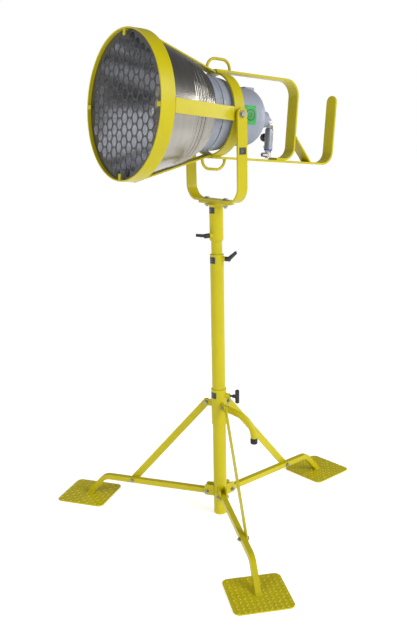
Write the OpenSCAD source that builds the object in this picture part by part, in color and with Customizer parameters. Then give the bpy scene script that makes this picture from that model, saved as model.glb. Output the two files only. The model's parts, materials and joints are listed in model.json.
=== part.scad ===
// Air driven flood light on a folding tripod, in millimetres.
// The lamp shines towards -Y, +Z is up, and the origin is on the mast's axis where its foot meets the floor.

/* [Tripod] */
// Distance from the mast's axis to the middle of a foot plate
leg_reach = 565; // [520:1:600]
// Height of the axis of a leg above the floor
leg_height = 88; // [80:1:100]
// Side of the square tube of a leg
leg_bar = 20; // [18:1:25]
// Side of a foot plate
plate_size = 200; // [150:5:240]
// Distance from the mast's axis to the pivot of a leg
leg_pivot_r = 50; // [46:1:60]
// Distance from the mast's axis to the foot of a strut
strut_foot_r = 368; // [340:1:400]
// Turn of the tripod about the mast, away from the lamp's own direction
leg_turn = 6; // [-20:1:20]

/* [Mast] */
// Outer diameter of the main tube
mast_od = 50; // [48:1:56]
// Height of the top of the main tube
mast_top = 1018; // [990:1:1030]
// Outer diameter of the sliding inner tube
inner_od = 40; // [36:1:40]
// Height of the lower end of the head's socket tube
socket_low = 1068; // [1060:1:1080]

/* [Collar] */
// Height of the lower end of the sliding collar
collar_low = 372; // [360:1:390]
// Length of the collar's sleeve
collar_length = 138; // [120:1:150]
// Height of the struts' upper pivots
strut_top_z = 448; // [440:1:460]

/* [Yoke] */
// Height of the axis that the lamp tilts about
pivot_z = 1502; // [1480:1:1540]
// Height of the flat bottom of the yoke
yoke_low = 1206; // [1200:1:1215]
// Distance between the inner faces of the yoke's arms
yoke_gap = 294; // [292:1:300]
// Width of the yoke's bar
yoke_bar = 40; // [36:1:45]

/* [Lamp] */
// How far the lamp is tipped up from level
head_tilt = 5; // [0:0.5:10]
// Outer radius of the front guard ring
ring_r = 238; // [230:1:245]
// Width of the front ring's bar
ring_bar = 50; // [40:1:50]
// Distance from the tilt axis to the front of the guard ring
front_reach = 366; // [360:1:380]
// Outer radius of the rear ring
rear_ring_r = 140; // [138:1:142]
// Diameter of a hole in the grille
grille_hole = 33.4; // [30:0.1:34]
// Distance between the middles of neighbouring grille holes
grille_pitch = 37.2; // [36.5:0.1:40]

/* [Carrying frame] */
// Distance from the tilt axis back to the rear face of the handle
hoop_back = 356; // [350:1:370]
// Distance from the tilt axis back to the rear face of the hose hook
hook_back = 550; // [520:1:560]
// Width of the handle's and the hook's bar
frame_bar = 50; // [40:1:50]
// Diameter of the round bar of the lifting loops
loop_rod = 10; // [8:1:12]

/* [Hidden] */
$fn = 64;

paint = "#d6cf1e";
casting = "#8d9097";
steel = "#c9cbd0";
grille_grey = "#55585c";
black = "#1c1c1e";

// Gaps: between turning faces, between sliding faces, and round a turning pin
side_gap = 0.5;
face_gap = 0.3;
fit_gap = 0.05;

// Directions of the legs, the collar's handle and the clamp levers, turning from -Y towards +X
right_leg = 60 + leg_turn;
rear_leg = 180 + leg_turn;
left_leg = 300 + leg_turn;
legs = [right_leg, rear_leg, left_leg];
// Which side of its leg each strut lies on: 1 is the left of someone looking outwards
strut_sides = [1, 1, -1];
handle_turn = 120 + leg_turn;
lower_lever_turn = 114;
upper_lever_turn = 4;

// Foot plates
plate_corner = 22;

// Mast
mast_r = mast_od / 2;
mast_bore_r = mast_r - 3;
inner_r = inner_od / 2;
inner_low = 300;
plug_top = 10;
bush_bore_r = inner_r + fit_gap;
mast_bush_low = 955;
lower_lever_z = 1003;

// Head socket and yoke
bar_t = 8;
socket_high = yoke_low - bar_t;
inner_high = socket_high - face_gap;
upper_lever_z = 1088;
base_plate = [160, 44];
base_bolt_x = 55;
bolt_hole_r = 5.3;
yoke_corner = 58;
yoke_in = yoke_gap / 2;
yoke_out = yoke_in + bar_t;

// Clamp levers and the knob of the collar
boss_r = 9;
boss_out = 36;
stud_r = 4;
lever_hub_r = 8.5;
lever_hub_len = 17;
lever_arm = 40;
knob_z = collar_low + 112;
knob_boss_out = 44;
knob_bar_r = 72;
knob_bar_len = 52;
knob_bar_t = 16;

// Collar
sleeve_bore_r = mast_r + fit_gap;
sleeve_r = mast_r + 3.5;
strut_top_r = 53;
lug_in = 4.2;
lug_out = 10.2;
handle_z = strut_top_z - 16;
handle_r = 12.5;
handle_drop = 20;
handle_bend = 95;
handle_straight = 50;

// Legs and struts
leg_half = leg_bar / 2;
plate_t = 5;
leg_bend_r = 45;
leg_bend_angle = 48;
leg_slope_drop = leg_height - leg_bend_r * (1 - cos(leg_bend_angle)) - plate_t;
leg_run_end = leg_reach - leg_slope_drop / tan(leg_bend_angle) - leg_bend_r * sin(leg_bend_angle);
leg_start = leg_pivot_r - 12;
pin_r = 4;
pin_hole_r = pin_r + fit_gap;
ear_t = 5;
ear_in = leg_half + side_gap;
ear_out = ear_in + ear_t;
strut_w = 28;
strut_t = 5;
strut_in = leg_half + side_gap;
strut_out = strut_in + strut_t;
strut_run = strut_foot_r - strut_top_r;
strut_rise = strut_top_z - leg_height;
strut_length = sqrt(strut_run * strut_run + strut_rise * strut_rise);
strut_slope = atan2(strut_rise, strut_run);

// Guard rings
ring_t = 5;
ring_back = front_reach - ring_bar;
rear_ring_t = 6;
rear_ring_bar = 40;
strap_w = 45;
grille_front = front_reach - 12;
grille_t = 2;
grille_r = ring_r - ring_t - 0.4;
grille_open_r = 208;
tilt_pin_r = 6;
tilt_head_r = 11;

// Reflector, a shell that follows a parabola
reflector_back = 148;
reflector_front = grille_front - grille_t - 6;
reflector_t = 1.6;
parabola_k = 130;
parabola_vertex = -67;
function reflector_r(d) = sqrt(parabola_k * (d - parabola_vertex));
reflector_steps = 16;
reflector_ds = [for (i = [0:reflector_steps])
    reflector_back + (reflector_front - reflector_back) * i / reflector_steps];

// Stepped collar between the reflector and the neck
collar_back = 96;
step_count = 4;
step_d = (reflector_back - collar_back) / step_count;
step_front_r = reflector_r(reflector_back) - 1;
step_back_r = 134;
step_dr = (step_front_r - step_back_r) / step_count;
step_wall = 4;

// Neck and rear housing, both castings
neck_r = 129;
neck_back = 58;
gasket_t = 2;
housing_front = neck_back - gasket_t;
housing_wall = 7;
body_r = 100;
dome_start = -118;
dome_depth = 68;
dome_boss_r = 32;
dome_steps = 14;
dome_end_angle = acos(dome_boss_r / body_r);
boss_end = -233;
boss_tip_r = 13;
earth_spot = [0, -66, -158];
earth_tilt = 128;
shaft_r = 8;
bearing_r = 16;
bearing_w = 10;
front_bearing = 54;
rear_bearing = -184;
screw_count = 8;

// Air inlet, behind the rear housing
drop_d = -247;
elbow_bend = drop_d - boss_end;
regulator_top = -28;
regulator_low = -104;
regulator_r = 15;
regulator_knob_up = -62;
coupler_low = -136;
nipple_up = -124;
nipple_r = 8;

// Carrying frame
bar_in = rear_ring_r;
bar_out = bar_in + bar_t;
hoop_bend = 60;
foot_bend = 50;
hook_top = 111;
loop_front = 43;
loop_rear = -52;
loop_top = 184;
loop_bend = 32;

// ---- Placing ----

// Turns +X to a direction that is measured from -Y towards +X
module towards(turn) {
    rotate([0, 0, turn - 90]) children();
}

// The lamp's own frame: the origin on the tilt axis, the lamp shining towards -Y
module head() {
    translate([0, 0, pivot_z]) rotate([-head_tilt, 0, 0]) children();
}

// As head(), with +Z along the way the lamp shines, +X as before and +Y up
module optic() {
    head() rotate([90, 0, 0]) children();
}

// Extrudes an outline of (forward, up) points across the lamp
module across(width) {
    rotate([90, 0, -90]) linear_extrude(width, center = true) children();
}

// Extrudes an outline of (outward, up) points sideways, from one offset to the other
module sideways(from, to) {
    rotate([90, 0, 0]) translate([0, 0, -max(from, to)]) linear_extrude(abs(to - from)) children();
}

// A cylinder along Y, from one offset to the other
module pin_y(r, from, to, sides = 48) {
    translate([0, min(from, to), 0]) rotate([-90, 0, 0]) cylinder(r = r, h = abs(to - from), $fn = sides);
}

// A cylinder along X, from one offset to the other
module pin_x(r, from, to, sides = 48) {
    translate([min(from, to), 0, 0]) rotate([0, 90, 0]) cylinder(r = r, h = abs(to - from), $fn = sides);
}

module tube(r_out, r_in, low, high) {
    translate([0, 0, low]) difference() {
        cylinder(r = r_out, h = high - low);
        translate([0, 0, -1]) cylinder(r = r_in, h = high - low + 2);
    }
}

// A rectangle with round corners
module round_rect(size, r) {
    square([size[0] - 2 * r, size[1]], center = true);
    square([size[0], size[1] - 2 * r], center = true);
    for (x = [-1, 1]) for (y = [-1, 1])
        translate([x * (size[0] / 2 - r), y * (size[1] / 2 - r)]) circle(r);
}

// A sector of a flat ring, anticlockwise from one angle to the other, less than a half turn
module ring_sector(r_in, r_out, from, to) {
    far = 3 * r_out;
    middle = (from + to) / 2;
    intersection() {
        difference() {
            circle(r_out);
            circle(r_in);
        }
        polygon([
            [0, 0], far * [cos(from), sin(from)],
            far * [cos(middle), sin(middle)], far * [cos(to), sin(to)]
        ]);
    }
}

// ---- Mast ----

// A threaded boss for a clamp lever, welded on a tube of radius r
module clamp_boss(r, turn, z, out) {
    towards(turn) translate([0, 0, z]) pin_x(boss_r, r - 2, out);
}

module clamp_bore(turn, z, out, r = stud_r + fit_gap) {
    towards(turn) translate([0, 0, z]) pin_x(r, 0, out + 1);
}

module mast_tube() {
    color(paint) difference() {
        tube(mast_r, mast_bore_r, plug_top, mast_top);
        clamp_bore(lower_lever_turn, lower_lever_z, boss_out);
    }
}

module lower_clamp_boss() {
    color(paint) difference() {
        clamp_boss(mast_r, lower_lever_turn, lower_lever_z, boss_out);
        cylinder(r = mast_r, h = mast_top);
        clamp_bore(lower_lever_turn, lower_lever_z, boss_out);
    }
}

module mast_foot_plug() {
    color(paint) {
        cylinder(r1 = mast_r - 3, r2 = mast_r, h = 3);
        translate([0, 0, 3]) cylinder(r = mast_r, h = plug_top - 3);
        translate([0, 0, plug_top]) cylinder(r = mast_bore_r - fit_gap, h = 30);
    }
}

module mast_bush() {
    color(black) difference() {
        tube(mast_bore_r - fit_gap, bush_bore_r, mast_bush_low, mast_top);
        clamp_bore(lower_lever_turn, lower_lever_z, boss_out, stud_r + 1);
    }
}

module leg_clevises() {
    ear_low = leg_height - 14;
    ear_high = leg_height + 29;
    ear_end = leg_pivot_r + 10;
    color(paint) difference() {
        for (turn = legs) towards(turn) for (side = [-1, 1])
            sideways(side * ear_in, side * ear_out) difference() {
                union() {
                    translate([0, ear_low]) square([ear_end - 8, ear_high - ear_low]);
                    translate([0, ear_low + 8]) square([ear_end, ear_high - ear_low - 16]);
                    for (z = [ear_low + 8, ear_high - 8]) translate([ear_end - 8, z]) circle(8);
                }
                translate([leg_pivot_r, leg_height]) circle(pin_hole_r);
            }
        cylinder(r = mast_r, h = mast_top);
    }
}

// A bolt along Y: its head at the end `side` points to, its nut at the other
module through_bolt(r, inner, outer, side, head_h) {
    pin_y(r, -side * inner, side * outer);
    pin_y(r * 1.85, side * outer, side * (outer + head_h), 6);
}

module leg_pivot_bolts() {
    color(steel) for (i = [0:2]) towards(legs[i]) translate([leg_pivot_r, 0, leg_height]) {
        through_bolt(pin_r, ear_out + 10, ear_out, strut_sides[i], 5.5);
        pin_y(pin_r * 1.85, -strut_sides[i] * ear_out, -strut_sides[i] * (ear_out + 6.5), 6);
    }
}

module inner_tube() {
    color(paint) tube(inner_r, inner_r - 2.5, inner_low, inner_high);
}

module inner_tube_guide() {
    color(black) {
        tube(mast_bore_r - fit_gap, inner_r, inner_low, inner_low + 30);
        translate([0, 0, inner_low - 6]) cylinder(r = mast_bore_r - fit_gap, h = 6);
    }
}

// A clamp lever on a stud: the arm leans out from the hub
module clamp_lever(r_inside, out) {
    arm_t = 10;
    pin_x(stud_r, r_inside, out + 8);
    pin_x(lever_hub_r, out + side_gap, out + side_gap + lever_hub_len);
    translate([out + side_gap + lever_hub_len - 6, 0, 0]) rotate([0, 0, 72])
        linear_extrude(arm_t, center = true) {
            polygon([[0, -7], [lever_arm, -3.5], [lever_arm, 3.5], [0, 6]]);
            translate([lever_arm, 0]) circle(3.5);
        }
}

module lower_clamp_lever() {
    color(black) towards(lower_lever_turn) translate([0, 0, lower_lever_z])
        rotate([30, 0, 0]) clamp_lever(inner_r + 0.4, boss_out);
}

module upper_clamp_lever() {
    color(black) towards(upper_lever_turn) translate([0, 0, upper_lever_z])
        rotate([180, 0, 0]) clamp_lever(inner_r + 0.4, boss_out);
}

// ---- Collar ----

module strut_lug(side) {
    reach = strut_top_r + 13;
    sideways(side * lug_in, side * lug_out) difference() {
        union() {
            translate([0, strut_top_z - 13]) square([strut_top_r, 26]);
            translate([strut_top_r, strut_top_z]) circle(reach - strut_top_r);
        }
        translate([strut_top_r, strut_top_z]) circle(pin_hole_r);
    }
}

module collar_sleeve() {
    color(paint) difference() {
        union() {
            translate([0, 0, collar_low]) cylinder(r = sleeve_r, h = collar_length);
            for (i = [0:2]) towards(legs[i]) strut_lug(strut_sides[i]);
            clamp_boss(sleeve_r, handle_turn, knob_z, knob_boss_out);
        }
        translate([0, 0, collar_low - 1]) cylinder(r = sleeve_bore_r, h = collar_length + 2);
        clamp_bore(handle_turn, knob_z, knob_boss_out);
    }
}

module collar_handle() {
    bend_start = [
        sleeve_r - 2 + handle_straight * cos(handle_drop),
        handle_z - handle_straight * sin(handle_drop)
    ];
    bend_at = bend_start - handle_bend * [sin(handle_drop), cos(handle_drop)];
    color(paint) difference() {
        towards(handle_turn) {
            translate([sleeve_r - 2, 0, handle_z]) rotate([0, 90 + handle_drop, 0])
                cylinder(r = handle_r, h = handle_straight);
            translate([bend_at[0], 0, bend_at[1]]) rotate([90, 0, 0])
                rotate_extrude(angle = 90 - handle_drop) translate([handle_bend, 0]) circle(handle_r);
        }
        cylinder(r = sleeve_r, h = mast_top);
    }
}

module handle_cap() {
    cap_r = sleeve_r - 2 + handle_straight * cos(handle_drop) + handle_bend * (1 - sin(handle_drop));
    cap_z = handle_z - handle_straight * sin(handle_drop) - handle_bend * cos(handle_drop);
    color(black) towards(handle_turn) translate([cap_r, 0, cap_z - 22]) {
        cylinder(r1 = handle_r, r2 = handle_r + 1, h = 2);
        translate([0, 0, 2]) cylinder(r = handle_r + 1, h = 20);
    }
}

module strut_pivot_bolts() {
    color(steel) for (i = [0:2]) towards(legs[i]) translate([strut_top_r, 0, strut_top_z]) {
        side = strut_sides[i];
        pin_y(pin_r, side * (lug_in - 9), side * (strut_out + face_gap));
        pin_y(pin_r * 1.85, side * (strut_out + face_gap), side * (strut_out + 6), 6);
        pin_y(pin_r * 1.85, side * (lug_in - 6.5), side * lug_in, 6);
    }
}

module collar_knob() {
    color(black) towards(handle_turn) translate([0, 0, knob_z]) {
        pin_x(stud_r, mast_r + 0.4, knob_bar_r);
        pin_x(7, knob_bar_r - 18, knob_bar_r);
        translate([knob_bar_r, 0, -knob_bar_len / 2]) {
            cylinder(r1 = knob_bar_t / 2 - 2, r2 = knob_bar_t / 2, h = 3);
            translate([0, 0, 3]) cylinder(r = knob_bar_t / 2, h = knob_bar_len - 6);
            translate([0, 0, knob_bar_len - 3]) cylinder(r1 = knob_bar_t / 2, r2 = knob_bar_t / 2 - 2, h = 3);
        }
    }
}

// ---- Legs ----

// Side outline of a leg, as (outward, up) points: a level run, a bend and a slope down to the plate
module leg_outline(half, start) {
    translate([start, leg_height - half]) square([leg_run_end - start, 2 * half]);
    translate([leg_run_end, leg_height - leg_bend_r]) {
        ring_sector(leg_bend_r - half, leg_bend_r + half, 90 - leg_bend_angle, 90);
        rotate(-leg_bend_angle) translate([0, leg_bend_r - half]) square([150, 2 * half]);
    }
}

module leg(turn) {
    wall = 2;
    color(paint) towards(turn) difference() {
        sideways(-leg_half, leg_half) leg_outline(leg_half, leg_start);
        sideways(-leg_half + wall, leg_half - wall) leg_outline(leg_half - wall, leg_start - 1);
        translate([0, -leg_bar, plate_t - 200]) cube([leg_reach * 2, leg_bar * 2, 200]);
        for (x = [leg_pivot_r, strut_foot_r]) translate([x, 0, leg_height])
            pin_y(pin_hole_r, -leg_bar, leg_bar);
    }
}

module foot_plate(turn) {
    color(paint) towards(turn) translate([leg_reach, 0, 0])
        linear_extrude(plate_t) round_rect([plate_size, plate_size], plate_corner);
}

// The bolt of a strut's foot, ending flush with the leg's face so that the strut can lift away from it
module strut_bolt(turn, side) {
    color(steel) towards(turn) translate([strut_foot_r, 0, leg_height]) {
        pin_y(pin_r, -side * (leg_half + 10), side * leg_half);
        pin_y(pin_r * 1.85, -side * leg_half, -side * (leg_half + 6.5), 6);
    }
}

module strut(turn, side) {
    color(paint) towards(turn) translate([strut_top_r, 0, strut_top_z])
        rotate([0, strut_slope, 0]) sideways(side * strut_in, side * strut_out) difference() {
            union() {
                translate([0, -strut_w / 2]) square([strut_length, strut_w]);
                circle(strut_w / 2);
                translate([strut_length, 0]) circle(strut_w / 2);
            }
            circle(pin_hole_r);
        }
}

module leg_right() { leg(right_leg); }
module leg_rear() { leg(rear_leg); }
module leg_left() { leg(left_leg); }
module foot_plate_right() { foot_plate(right_leg); }
module foot_plate_rear() { foot_plate(rear_leg); }
module foot_plate_left() { foot_plate(left_leg); }
module strut_bolt_right() { strut_bolt(right_leg, strut_sides[0]); }
module strut_bolt_rear() { strut_bolt(rear_leg, strut_sides[1]); }
module strut_bolt_left() { strut_bolt(left_leg, strut_sides[2]); }
module strut_right() { strut(right_leg, strut_sides[0]); }
module strut_rear() { strut(rear_leg, strut_sides[1]); }
module strut_left() { strut(left_leg, strut_sides[2]); }

// ---- Head socket and yoke ----

module socket_tube() {
    flare_h = 8;
    color(paint) difference() {
        union() {
            translate([0, 0, socket_low]) cylinder(r = mast_r, h = socket_high - socket_low);
            translate([0, 0, socket_high - flare_h]) cylinder(r1 = mast_r, r2 = mast_r + 7, h = flare_h);
            clamp_boss(mast_r, upper_lever_turn, upper_lever_z, boss_out);
            translate([0, 0, socket_high]) linear_extrude(bar_t) round_rect(base_plate, 4);
        }
        translate([0, 0, socket_low - 1]) cylinder(r = mast_bore_r, h = socket_high - socket_low + 1);
        clamp_bore(upper_lever_turn, upper_lever_z, boss_out);
        for (x = [-base_bolt_x, base_bolt_x])
            translate([x, 0, socket_high - 1]) cylinder(r = bolt_hole_r, h = bar_t + 2);
    }
}

module socket_bush() {
    color(black) difference() {
        tube(mast_bore_r - fit_gap, bush_bore_r, socket_low, socket_low + 60);
        clamp_bore(upper_lever_turn, upper_lever_z, boss_out, stud_r + 1);
    }
}

module yoke() {
    bend_x = yoke_out - yoke_corner;
    bend_z = yoke_low + yoke_corner;
    color(paint) difference() {
        union() {
            rotate([90, 0, 0]) linear_extrude(yoke_bar, center = true) {
                translate([-bend_x, yoke_low]) square([2 * bend_x, bar_t]);
                translate([bend_x, bend_z]) ring_sector(yoke_corner - bar_t, yoke_corner, 270, 360);
                translate([-bend_x, bend_z]) ring_sector(yoke_corner - bar_t, yoke_corner, 180, 270);
                for (x = [-yoke_out, yoke_in]) translate([x, bend_z]) square([bar_t, pivot_z - bend_z]);
            }
            for (side = [-1, 1]) translate([0, 0, pivot_z]) pin_x(yoke_bar / 2, side * yoke_in, side * yoke_out);
        }
        translate([0, 0, pivot_z]) pin_x(tilt_pin_r + fit_gap, -yoke_out - 1, yoke_out + 1);
        for (x = [-base_bolt_x, base_bolt_x])
            translate([x, 0, yoke_low - 1]) cylinder(r = bolt_hole_r, h = bar_t + 2);
    }
}

module yoke_bolts() {
    yoke_floor = yoke_low + bar_t;
    color(steel) for (x = [-base_bolt_x, base_bolt_x]) translate([x, 0, 0]) {
        translate([0, 0, socket_high - 13]) cylinder(r = 5, h = yoke_floor - socket_high + 13);
        translate([0, 0, socket_high - 8]) cylinder(r = 9.3, h = 8, $fn = 6);
        translate([0, 0, yoke_floor]) cylinder(r1 = 10.5, r2 = 7, h = 6);
    }
}

// ---- Guard ----

module front_ring() {
    color(paint) optic() tube(ring_r, ring_r - ring_t, ring_back, front_reach);
}

module guard_straps() {
    rear_d = rear_ring_bar / 2;
    color(paint) head() for (turn = [0, 90, 180, 270]) rotate([0, turn, 0])
        across(strap_w) polygon([
            [ring_back, ring_r], [ring_back, ring_r - rear_ring_t],
            [rear_d, rear_ring_r - rear_ring_t], [rear_d, rear_ring_r]
        ]);
}

module rear_ring() {
    color(paint) difference() {
        optic() tube(rear_ring_r, rear_ring_r - rear_ring_t, -rear_ring_bar / 2, rear_ring_bar / 2);
        head() pin_x(tilt_pin_r + fit_gap, -rear_ring_r - 1, rear_ring_r + 1);
    }
}

// Holes in vertical columns, each column half a pitch up or down from the next
module grille() {
    columns = ceil(grille_open_r / (grille_pitch * cos(30)));
    rows = ceil(grille_open_r / grille_pitch) + 1;
    color(grille_grey) optic() translate([0, 0, grille_front - grille_t])
        linear_extrude(grille_t) difference() {
        circle(grille_r, $fn = 128);
        for (c = [-columns:columns]) for (k = [-rows:rows]) {
            spot = [c * grille_pitch * cos(30), (k + (abs(c) % 2) / 2) * grille_pitch];
            if (norm(spot) < grille_open_r)
                translate(spot) circle(grille_hole / 2, $fn = 24);
        }
    }
}

module grille_clips() {
    lip = 3;
    in_r = ring_r - ring_t;
    color(paint) head() for (turn = [0, 90, 180, 270]) rotate([0, turn, 0])
        across(14) polygon([
            [front_reach, in_r - 0.5], [front_reach, in_r - 20], [front_reach - lip, in_r - 20],
            [front_reach - lip, in_r - 4], [grille_front, in_r - 4], [grille_front, in_r - 0.5]
        ]);
}

module handle_hoop() {
    top_z = bar_out;
    foot_z = -bar_in + bar_t;
    color(paint) head() across(frame_bar) {
        translate([-hoop_back + hoop_bend, bar_in])
            square([hoop_back - hoop_bend + rear_ring_bar / 2, bar_t]);
        translate([-hoop_back + hoop_bend, top_z - hoop_bend])
            ring_sector(hoop_bend - bar_t, hoop_bend, 90, 180);
        translate([-hoop_back, foot_z - bar_t + foot_bend])
            square([bar_t, top_z - hoop_bend - foot_z + bar_t - foot_bend]);
        translate([-hoop_back + foot_bend, foot_z - bar_t + foot_bend])
            ring_sector(foot_bend - bar_t, foot_bend, 180, 270);
        translate([-hoop_back + foot_bend, foot_z - bar_t]) square([35, bar_t]);
    }
}

module hose_hook_bar() {
    tip_r = frame_bar / 2;
    color(paint) head() {
        across(frame_bar) {
            translate([-hook_back + foot_bend, -bar_out])
                square([hook_back - foot_bend + rear_ring_bar / 2, bar_t]);
            translate([-hook_back + foot_bend, -bar_out + foot_bend])
                ring_sector(foot_bend - bar_t, foot_bend, 180, 270);
            translate([-hook_back, -bar_out + foot_bend])
                square([bar_t, hook_top - tip_r + bar_out - foot_bend]);
        }
        translate([0, hook_back, hook_top - tip_r]) rotate([90, 0, 0]) intersection() {
            cylinder(r = tip_r, h = bar_t);
            translate([-tip_r, 0, 0]) cube([2 * tip_r, tip_r, bar_t]);
        }
    }
}

// A flat bar from the back of the handle down to the top of the hook's bar
module hook_brace() {
    high = [-hoop_back, -48];
    low = [-hoop_back - 86, -bar_in];
    t = 6;
    slope = atan2(high[1] - low[1], high[0] - low[0]);
    color(paint) head() across(frame_bar) polygon([
        high, low, [low[0] + t / sin(slope), low[1]], [high[0], high[1] - t / cos(slope)]
    ]);
}

// Round bar bent to a hoop, its feet on a strap and on the frame's bar
module lifting_loop() {
    r = loop_rod / 2;
    bend_up = loop_top - loop_bend;
    foot_low = bar_in - 10;
    rotate([90, 0, -90]) {
        translate([loop_front, foot_low, 0]) rotate([-90, 0, 0]) cylinder(r = r, h = bend_up - foot_low);
        translate([loop_rear, foot_low, 0]) rotate([-90, 0, 0]) cylinder(r = r, h = bend_up - foot_low);
        translate([loop_front - loop_bend, bend_up, 0])
            rotate_extrude(angle = 90) translate([loop_bend, 0]) circle(r);
        translate([loop_rear + loop_bend, bend_up, 0]) rotate([0, 0, 90])
            rotate_extrude(angle = 90) translate([loop_bend, 0]) circle(r);
        translate([loop_rear + loop_bend, loop_top, 0]) rotate([0, 90, 0])
            cylinder(r = r, h = loop_front - loop_rear - 2 * loop_bend);
    }
}

module lifting_loops() {
    rear_d = rear_ring_bar / 2;
    color(paint) head() for (turn = [0, 180]) rotate([0, turn, 0]) difference() {
        lifting_loop();
        across(strap_w) polygon([[ring_back, 0], [ring_back, ring_r], [rear_d, rear_ring_r], [rear_d, 0]]);
        translate([-frame_bar / 2, -rear_d, 0]) cube([frame_bar, hoop_back, bar_out]);
    }
}

// ---- Lamp ----

module reflector() {
    outer = [for (d = reflector_ds) [reflector_r(d), d]];
    inner = [for (i = [reflector_steps:-1:0]) [reflector_r(reflector_ds[i]) - reflector_t, reflector_ds[i]]];
    color("#b9bcc0") optic() {
        rotate_extrude($fn = 96) polygon(concat(outer, inner));
        tube(ring_r - ring_t - 0.4, reflector_r(reflector_front) - reflector_t,
            reflector_front, reflector_front + 2);
    }
}

// Spun steps that narrow from the reflector to the neck, with a raised bead on each
module reflector_collar() {
    function step_r(i) = step_front_r - i * step_dr;
    function step_at(i) = reflector_back - i * step_d;
    outer = [for (i = [0:step_count - 1]) each [
        [step_r(i), step_at(i)], [step_r(i) + 2, step_at(i) - 3], [step_r(i), step_at(i) - 6],
        [step_r(i) - 1, step_at(i + 1) + 1]
    ]];
    inner = [for (i = [step_count - 1:-1:0]) each [
        [step_r(i) - step_wall - step_dr, step_at(i + 1)], [step_r(i) - step_wall, step_at(i) - 1]
    ]];
    color("#a3a6aa") optic() rotate_extrude($fn = 96) polygon(concat(
        outer, [[step_back_r - 1, collar_back]], inner, [[step_front_r - step_wall, reflector_back]]));
}

// Neck casting: a flanged tube with a bulkhead that carries the globe in front and a bearing behind
module lamp_neck() {
    bulkhead_back = neck_back + 8;
    bulkhead_front = neck_back + 18;
    pocket_back = front_bearing - 2;
    color(casting) optic() difference() {
        rotate_extrude() polygon([
            [0, bulkhead_front], [neck_r - 17, bulkhead_front], [neck_r - 17, collar_back],
            [neck_r + 2, collar_back], [neck_r + 2, collar_back - 6], [neck_r - 2, collar_back - 9],
            [neck_r - 2, neck_back + 10], [neck_r, neck_back + 8], [neck_r, neck_back],
            [neck_r - 16, neck_back], [neck_r - 16, bulkhead_back],
            [bearing_r + 8, bulkhead_back], [bearing_r + 6, pocket_back], [0, pocket_back]
        ]);
        translate([0, 0, pocket_back - 1]) cylinder(r = bearing_r + fit_gap, h = bearing_w + 3);
    }
}

module neck_gasket() {
    color(black) optic() tube(neck_r - 1, neck_r - 15, housing_front, neck_back);
}

// Rear housing casting: flange, barrel, domed back and inlet boss
module rear_housing() {
    dome = [for (i = [0:dome_steps]) let (a = dome_end_angle * i / dome_steps)
        [body_r * cos(a), dome_start - dome_depth * sin(a)]];
    dome_in = [for (i = [dome_steps:-1:0]) let (a = dome_end_angle * i / dome_steps)
        [(body_r - housing_wall) * cos(a), dome_start - (dome_depth - housing_wall) * sin(a)]];
    hub_front = rear_bearing + bearing_w + 1;
    color(casting) optic() difference() {
        union() {
            rotate_extrude() polygon(concat(
                [[neck_r - 15, housing_front], [neck_r, housing_front], [neck_r, housing_front - 10],
                 [neck_r - 4, housing_front - 13], [122, 10], [119, -6], [108, -36], [body_r, -52]],
                dome,
                [[dome_boss_r - 4, -222], [boss_tip_r, boss_end], [0, boss_end], [0, -198]],
                dome_in,
                [[body_r - housing_wall, -52], [101, -36], [112, -6], [neck_r - 15, 10]]));
            translate([0, 0, -204]) cylinder(r = bearing_r + 6, h = hub_front + 204);
            for (side = [-1, 1]) pin_x(17, side * 108, side * (rear_ring_r - rear_ring_t - 1.4));
            translate(earth_spot) rotate([earth_tilt, 0, 0]) cylinder(r = 9, h = 14);
            translate([-24, 80, -146]) cube([48, 22, 40]);
        }
        translate([0, 0, rear_bearing - 1]) cylinder(r = bearing_r + fit_gap, h = 40);
        for (side = [-1, 1]) pin_x(tilt_pin_r + fit_gap, side * 114, side * 150);
        translate([0, 0, boss_end - 1]) cylinder(r = 6, h = 30);
    }
}

// Socket screws round the flange, and the earth screw low on the dome
module housing_screws() {
    color(steel) optic() {
        for (i = [0:screw_count - 1]) rotate([0, 0, (i + 0.5) * 360 / screw_count])
            translate([neck_r, 0, housing_front + 1]) rotate([0, 90, 0]) difference() {
                cylinder(r = 4.5, h = 4);
                translate([0, 0, 2]) cylinder(r = 2.3, h = 3, $fn = 6);
            }
        translate(earth_spot) rotate([earth_tilt, 0, 0]) translate([0, 0, 14]) cylinder(r = 6, h = 5, $fn = 6);
    }
}

module glass_globe() {
    globe_r = 52;
    wall = 3;
    seat = neck_back + 18;
    straight = 60;
    color("#dfe8ea", 0.4) optic() {
        tube(globe_r, globe_r - wall, seat, seat + straight);
        translate([0, 0, seat + straight]) difference() {
            sphere(globe_r);
            sphere(globe_r - wall);
            translate([0, 0, -100]) cube(200, center = true);
        }
    }
}

module lamp_holder() {
    color("#e8e4da") optic() translate([0, 0, neck_back + 18]) {
        cylinder(r = 24, h = 10);
        translate([0, 0, 10]) cylinder(r = 19, h = 18);
    }
}

module bulb() {
    foot = neck_back + 46;
    color("#f4f1e6") optic() translate([0, 0, foot]) {
        cylinder(r = 13, h = 16);
        translate([0, 0, 16]) cylinder(r1 = 13, r2 = 22, h = 14);
        translate([0, 0, 30]) cylinder(r = 22, h = 16);
        translate([0, 0, 46]) intersection() {
            sphere(22);
            cylinder(r = 30, h = 30);
        }
    }
}

module stator() {
    color("#7d4a2a") optic() tube(body_r - housing_wall, 56, -104, -62);
}

module rotor_bearings() {
    color(steel) optic() for (d = [front_bearing, rear_bearing])
        tube(bearing_r, shaft_r + fit_gap, d, d + bearing_w);
}

module magnet_rotor() {
    color("#4a4c50") optic() {
        translate([0, 0, rear_bearing]) cylinder(r = shaft_r, h = front_bearing + bearing_w - 1 - rear_bearing);
        translate([0, 0, -101]) cylinder(r = 54, h = 36);
    }
}

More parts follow.
